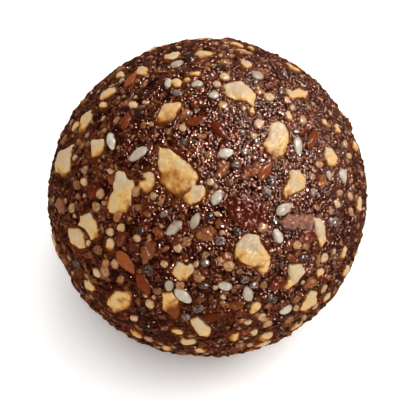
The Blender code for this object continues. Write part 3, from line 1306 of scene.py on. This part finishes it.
paste = Paint("cocoa_date_paste")
chopped, _ = paste.bits(CHOPPED_BIT)
gritty, grit_down = paste.bits(GRIT)
# Painted shade: the skin's height, carried as relief, lightens the tops and darkens the hollows.
tone = paste.sum_of(
    (chopped, 0.30), (gritty, 0.16), (grit_down, -0.30), (paste.clouds(0.3 * MM, 1.0), 0.35),
    (paste.clouds(4 * MM), 0.25), (paste.own("relief"), 0.16),
)
near_nut = paste.sum_of((paste.own("syrup"), 0.6), (paste.clouds(0.9 * MM), 0.4))
stained = paste.range_of(near_nut, 0.0, 0.85, 0.35, 0.75)
paste.surface(Base_Color=paste.blend(stained, paste.ramp(tone, PASTE_TONES), SYRUP_TONE))
paste.surface(Roughness=paste.range_of(paste.clouds(0.4 * MM), 0.04, 0.12))
_, bead_down = paste.bits(BEAD)
paste.relief(paste.sum_of((bead_down, -0.9), (paste.clouds(0.5 * MM, 0.0), 0.7)), BEAD_DEEP)
paste.shine(0.5, GLINT_TINT)
paste.coat(skin)

# %% [markdown]
# A broken nut is cream inside, golden in places, and brown along its skin. Each chip carries how golden it
# is, and towards its lower side in the picture it is painted more golden and darker: painted shade, and
# painted glow of light through the nut. Clouds two millimetres wide vary that over its face, and its rim,
# near the paste, goes darker: partly paste smeared over it, partly painted contact shade. Light goes into the
# pale flesh and comes out nearby, which subsurface scattering gives.

# %% Nut paint
NUT_TONES = (
    (0.00, (0.55, 0.415, 0.26)),
    (0.28, (0.57, 0.395, 0.215)),
    (0.50, (0.68, 0.42, 0.145)),
    (0.76, (0.40, 0.155, 0.027)),
    (1.00, (0.17, 0.040, 0.005)),
)

nut_paint = Paint("chopped_nut")
tone = nut_paint.sum_of(
    (nut_paint.own("tone"), 0.45), (nut_paint.own("smear_and_shade"), 0.75),
    (nut_paint.clouds(1.9 * MM, 2.0), 1.5), (nut_paint.clouds(0.35 * MM), 0.12),
)
nut_colour = nut_paint.ramp(nut_paint.range_of(tone, 0.0, 1.0, 0.90, 1.90), NUT_TONES)
nut_paint.surface(Base_Color=nut_paint.smeared_and_shaded(nut_colour, 0.8 * MM, start=0.78))
nut_paint.surface(Roughness=nut_paint.range_of(nut_paint.clouds(0.6 * MM), 0.22, 0.45))
nut_paint.relief(nut_paint.clouds(0.5 * MM, 1.0), 0.07 * MM)
nut_paint.shine(0.10)
nut_paint.inside(0.4, 0.6 * MM, (1.0, 0.6, 0.3))
nut_paint.coat(nuts)

# %% [markdown]
# The seeds share one recipe. Each copy carries a tone of its own, so that neighbours differ. Patches of
# noise vary the tone over one seed, and for some kinds it also drifts over the whole ball. What sets a kind
# apart is its tones, how large its patches are, and its gloss.

# %% Recipe for the seeds
DRIFT = 4.5 * MM
SMEAR_AND_SHADE_PATCH = 0.7 * MM
GLOSS_PATCH = 0.5 * MM
DENT = 0.45 * MM


def seed_paint(name, tones, own, patch, rough, dents, gloss, tint=(1, 1, 1), patchy=0.5, drift=0.0):
    """A paint whose tone is partly the seed's own, partly patchy, and may drift over the whole ball."""
    paint = Paint(name)
    tone = paint.sum_of(
        (paint.own("tone"), own), (paint.clouds(patch), patchy), (paint.clouds(DRIFT, 1.0), drift),
    )
    noise = patchy + drift
    painted = paint.ramp(paint.range_of(tone, 0.0, 1.0, NOISE_LOW * noise, own + NOISE_HIGH * noise), tones)
    paint.surface(Base_Color=paint.smeared_and_shaded(painted, SMEAR_AND_SHADE_PATCH))
    paint.surface(Roughness=paint.range_of(paint.clouds(GLOSS_PATCH), *rough))
    paint.relief(paint.clouds(DENT, 0.0), dents)
    paint.shine(gloss, tint)
    return paint


# %% Sesame, linseed and chia paints
SESAME_TONES = ((0.2, (0.37, 0.28, 0.19)), (0.6, (0.50, 0.42, 0.315)), (1.0, (0.63, 0.56, 0.46)))
LINSEED_TONES = ((0.2, (0.095, 0.014, 0.004)), (0.55, (0.17, 0.030, 0.007)), (0.9, (0.29, 0.072, 0.020)))
CHIA_TONES = ((0.32, (0.022, 0.010, 0.006)), (0.52, (0.065, 0.040, 0.031)), (0.72, (0.27, 0.19, 0.155)))

sesame_paint = seed_paint(
    "hulled_sesame", SESAME_TONES, own=0.55, patch=0.8 * MM, rough=(0.2, 0.4), dents=0.06 * MM, gloss=0.15,
)
sesame_paint.inside(0.15, 0.4 * MM, (1.0, 0.8, 0.6))
sesame_paint.coat(sesame)
seed_paint(
    "linseed_skin", LINSEED_TONES, own=0.4, patch=0.5 * MM, rough=(0.12, 0.28), dents=0.05 * MM, gloss=0.09,
    tint=(1.0, 0.8, 0.7),
).coat(linseed)
seed_paint(
    "mottled_chia", CHIA_TONES, own=0.3, patch=0.22 * MM, rough=(0.05, 0.16), dents=0.16 * MM, gloss=0.4,
    tint=(1.0, 0.84, 0.78), patchy=0.9,
).coat(chia)

# %% Grain, husk and fruit paints
GRAIN_TONES = (
    (0.12, (0.050, 0.012, 0.004)),
    (0.38, (0.220, 0.078, 0.026)),
    (0.60, (0.470, 0.250, 0.112)),
    (0.95, (0.700, 0.490, 0.280)),
)
FLAKE_TONES = (
    (0.12, (0.060, 0.011, 0.003)),
    (0.42, (0.190, 0.046, 0.013)),
    (0.70, (0.410, 0.165, 0.058)),
    (0.95, (0.580, 0.330, 0.165)),
)
FRUIT_TONES = (
    (0.05, (0.060, 0.006, 0.003)),
    (0.30, (0.125, 0.019, 0.007)),
    (0.55, (0.230, 0.075, 0.024)),
    (0.75, (0.300, 0.110, 0.040)),
    (0.95, (0.260, 0.125, 0.095)),
)

seed_paint(
    "tan_grain", GRAIN_TONES, own=0.65, patch=0.35 * MM, rough=(0.10, 0.28), dents=0.10 * MM, gloss=0.25,
    tint=(1, 0.85, 0.75), patchy=0.9, drift=0.3,
).coat(grains)
seed_paint(
    "husk_flake", FLAKE_TONES, own=0.7, patch=0.4 * MM, rough=(0.08, 0.25), dents=0.14 * MM, gloss=0.3,
    tint=GLINT_TINT, patchy=0.8, drift=0.4,
).coat(flakes)
seed_paint(
    "dried_fruit", FRUIT_TONES, own=0.85, patch=0.4 * MM, rough=(0.05, 0.15), dents=0.30 * MM, gloss=0.28,
    tint=GLINT_TINT, patchy=0.3,
).coat(fruit)

# %% Crumb paints
CRUMB_TONES = (
    (0.12, (0.014, 0.0014, 0.0005)),
    (0.42, (0.042, 0.0066, 0.0022)),
    (0.68, (0.138, 0.031, 0.0105)),
    (0.95, (0.410, 0.165, 0.072)),
)
PALE_CRUMB_TONES = (
    (0.10, (0.160, 0.060, 0.024)),
    (0.50, (0.360, 0.170, 0.070)),
    (0.95, (0.580, 0.380, 0.200)),
)

seed_paint(
    "cocoa_crumb", CRUMB_TONES, own=0.7, patch=0.4 * MM, rough=(0.04, 0.12), dents=0.04 * MM, gloss=0.5,
    tint=GLINT_TINT, drift=0.7,
).coat(crumbs)
seed_paint(
    "nut_crumb", PALE_CRUMB_TONES, own=0.7, patch=0.4 * MM, rough=(0.10, 0.3), dents=0.08 * MM, gloss=0.2,
).coat(pale_crumbs)

# %% [markdown]
# ## Into the frame
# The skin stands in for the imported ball, and everything pressed into it rides on the same body.

# %% Ride and finish
SLOTS = (
    (skin, "cocoa_paste"), (nuts, "nut"), (sesame, "white_seed"), (linseed, "brown_seed"),
    (grains, "tan_grain"), (flakes, "dried_fruit"), (chia, "dark_seed"), (fruit, "dried_fruit"),
    (crumbs, "cocoa_paste"), (pale_crumbs, "nut"),
)
for piece, slot in SLOTS:
    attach(piece, "root")
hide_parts("truffle_ball")
